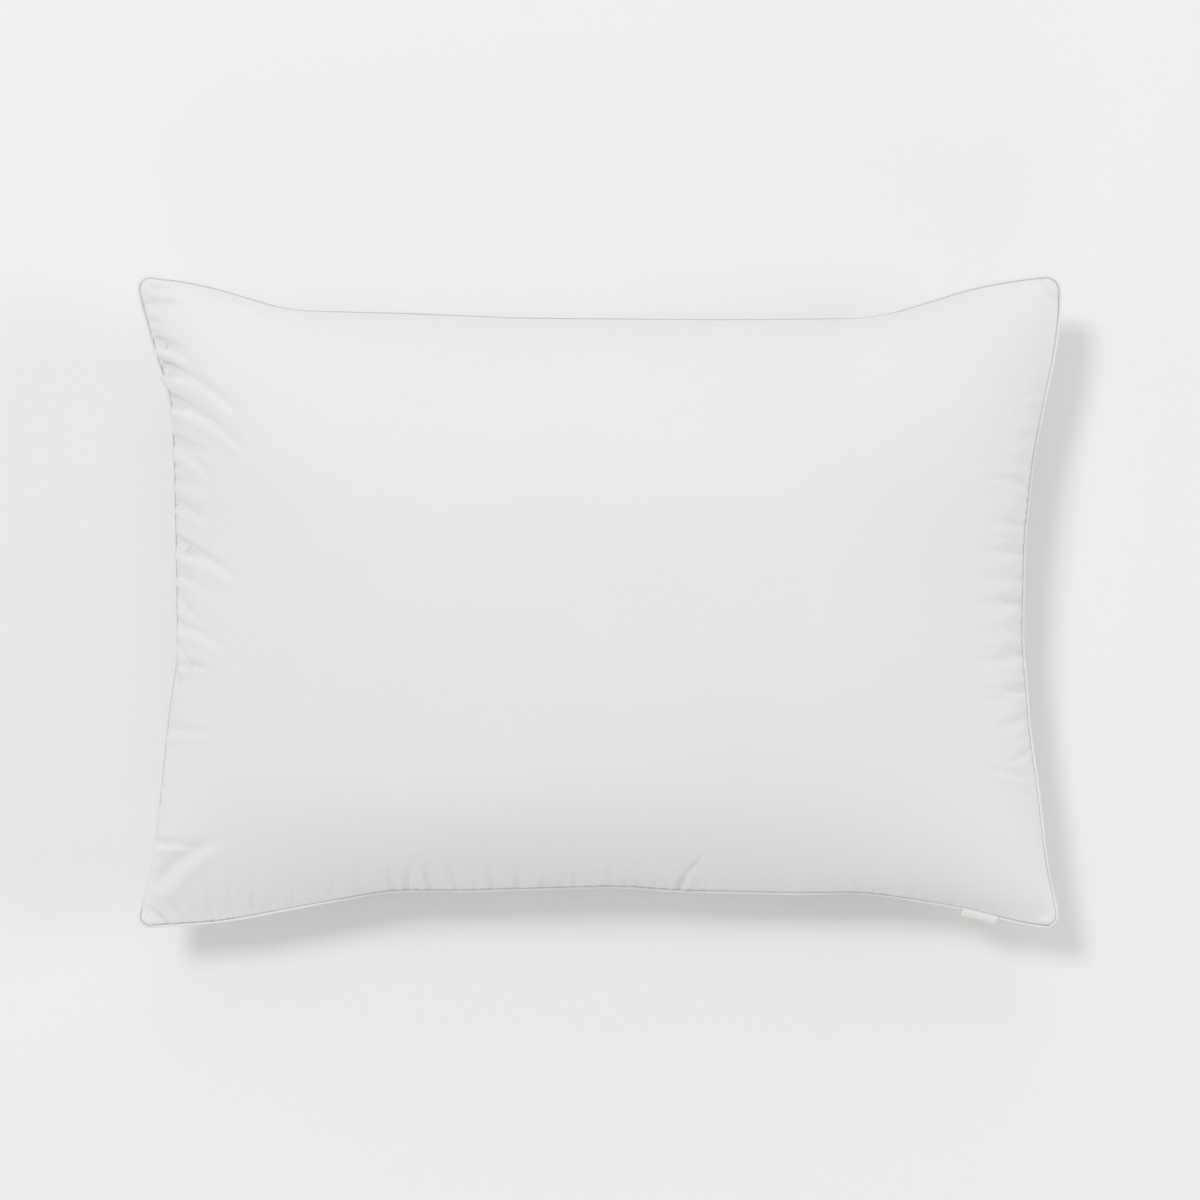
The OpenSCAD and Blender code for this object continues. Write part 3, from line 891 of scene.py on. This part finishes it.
def makeYarn(name, look):
    # twisted yarn: a wave that climbs round the piece as it goes along, darker in its troughs: painted shade
    mat, tree, shader = newMaterial(name, {"Sheen Weight": 0.3, "Specular IOR Level": 0.3})
    uv = addNode(tree, "ShaderNodeUVMap", {"uv_map": "cloth"}, {})
    parts = "ShaderNodeSeparateXYZ"
    run, turn = addNode(tree, parts, {}, {0: uv}, 0), addNode(tree, parts, {}, {0: uv}, 1)
    climb = run * (2 * math.pi / look["pitch"]) + turn * (2 * math.pi * look["strands"])
    wave = climb.math("SINE", climb) * 0.5 + 0.5
    place = addNode(tree, "ShaderNodeTexCoord", {}, {}, 3)
    fuzz = addNode(tree, "ShaderNodeTexNoise", {}, {"Vector": place, "Scale": 1 / look["fuzz"],
                                                    "Detail": 3.0}, 0)
    # the colour: painted shade in the grooves between the strands where the wave is low, and fuzz as the
    # yarn's own uneven tone
    colour = addNode(tree, "ShaderNodeMix", {"data_type": "RGBA"},
                     {0: wave * 0.6 + fuzz * 0.4, 6: look["shade"] + (1,), 7: look["colour"] + (1,)}, 2)
    bump = addNode(tree, "ShaderNodeBump", {}, {"Strength": 0.7, "Distance": look["depth"],
                                                "Height": wave + fuzz * 0.5})
    plug(tree, colour, shader, "Base Color")
    plug(tree, fuzz * 0.2 + look["rough"], shader, "Roughness")
    plug(tree, bump, shader, "Normal")
    return mat


def makeFibre(name, look):
    # loose fibre: stretched noise at two sizes, lighter on the raised tufts and darker in the hollows
    # between them: painted shade
    mat, tree, shader = newMaterial(name, {"Sheen Weight": 0.5, "Specular IOR Level": 0.3})
    place = addNode(tree, "ShaderNodeTexCoord", {}, {}, 3)
    strands = addNode(tree, "ShaderNodeMapping", {}, {"Vector": place, "Rotation": (0.3, 0.2, 0.7),
                                                      "Scale": (1, 0.15, 0.6)})
    fine = addNode(tree, "ShaderNodeTexNoise", {}, {"Vector": strands, "Scale": 1 / look["strand"],
                                                    "Detail": 4.0, "Distortion": 1.5}, 0)
    tufts = addNode(tree, "ShaderNodeTexNoise", {}, {"Vector": place, "Scale": 1 / look["tuft"],
                                                     "Detail": 3.0}, 0)
    # the colour: painted shade, darker where the bump is low between the tufts
    colour = addNode(tree, "ShaderNodeMix", {"data_type": "RGBA"},
                     {0: tufts * 0.6 + fine * 0.5, 6: look["shade"] + (1,), 7: look["colour"] + (1,)}, 2)
    bump = addNode(tree, "ShaderNodeBump", {}, {"Strength": 0.8, "Distance": look["depth"],
                                                "Height": fine * 0.4 + tufts})
    plug(tree, colour, shader, "Base Color")
    plug(tree, fine * 0.1 + 0.85, shader, "Roughness")
    plug(tree, bump, shader, "Normal")
    return mat


def makeRibbon(name, look):
    # taffeta ribbon: fine ribs across its length, a plain woven border along both edges
    mat, tree, shader = newMaterial(name, {"Sheen Weight": 0.2, "Specular IOR Level": 0.45})
    uv = addNode(tree, "ShaderNodeUVMap", {"uv_map": "cloth"}, {})
    parts = "ShaderNodeSeparateXYZ"
    x, y = addNode(tree, parts, {}, {0: uv}, 0), addNode(tree, parts, {}, {0: uv}, 1)
    turns = 2 * math.pi / ribbon["weave"]
    ribs = y.math("SINE", y * turns) + x.math("SINE", x * turns * 1.6) * 0.3
    fromMiddle = x.math("ABSOLUTE", x)
    edge = x.math("GREATER_THAN", fromMiddle, ribbon["width"] / 2 - ribbon["border"])
    cloud = addNode(tree, "ShaderNodeTexNoise", {}, {"Vector": uv, "Scale": 160.0, "Detail": 3.0}, 0)
    colour = addNode(tree, "ShaderNodeMix", {"data_type": "RGBA"},
                     {0: cloud * 0.8 + edge * 0.3, 6: look["shade"] + (1,), 7: look["colour"] + (1,)}, 2)
    bump = addNode(tree, "ShaderNodeBump", {}, {"Strength": 0.5, "Distance": 0.00003, "Height": ribs + edge})
    plug(tree, colour, shader, "Base Color")
    plug(tree, cloud * 0.15 + 0.45, shader, "Roughness")
    plug(tree, bump, shader, "Normal")
    return mat


# the thread's and the cord's shade colours are painted shade for the grooves between their strands
threadLook = {"colour": (0.84, 0.84, 0.85), "shade": (0.68, 0.68, 0.70), "pitch": 0.0011, "strands": 1,
              "fuzz": 0.0006, "depth": 0.00004, "rough": 0.5}
cordLook = {"colour": (0.80, 0.79, 0.75), "shade": (0.62, 0.60, 0.55), "pitch": 0.0012, "strands": 3,
            "fuzz": 0.0008, "depth": 0.0001, "rough": 0.75}
# the fibre's shade colour is painted shade for the hollows between its tufts
fibreLook = {"colour": (0.87, 0.88, 0.89), "shade": (0.70, 0.71, 0.73), "strand": 0.004, "tuft": 0.03,
             "depth": 0.003}
ribbonLook = {"colour": (0.86, 0.852, 0.812), "shade": (0.82, 0.806, 0.755)}

sewingThread = makeYarn("sewingThread", threadLook)
for piece in (needleThread, bobbinThread, overlockThread, stitches):
    piece.data.materials.append(sewingThread)
pipingCord.data.materials.append(makeYarn("cordYarn", cordLook))
fibreFill.data.materials.append(makeFibre("microfibre", fibreLook))
label.data.materials.append(makeRibbon("ivoryRibbon", ribbonLook))
report("materials")


# floor

floorHalf = studio["floorSize"] / 2
floorCorners = np.array([[-1, -1, 0], [1, -1, 0], [1, 1, 0], [-1, 1, 0]]) * floorHalf
floor = makePiece("floor", floorCorners, [[0, 1, 2, 3]])
floorPaint = {"Base Color": studio["floorColour"] + (1,), "Roughness": 0.9}
floor.data.materials.append(newMaterial("floorPaint", floorPaint)[0])


# what each piece rides on, its material slot and the node that it stands for

bonds = [
    (topPanel, "cover_cotton", "top_panel"), (bottomPanel, "cover_cotton", "bottom_panel"),
    (fibreFill, "polyester_fill", "fibre_fill"), (pipingStrip, "piping_cotton", "piping_strip"),
    (pipingCord, "cotton_cord", "piping_cord"), (needleThread, "thread", "needle_thread"),
    (bobbinThread, "thread", "bobbin_thread"), (overlockThread, "thread", "overlock_thread"),
    (stitches, "thread", "closing_stitches"), (label, "label_ribbon", "label"),
]
for piece, slotName, node in bonds:
    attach(piece, "root")
    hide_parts(node)

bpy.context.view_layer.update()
report("finished")
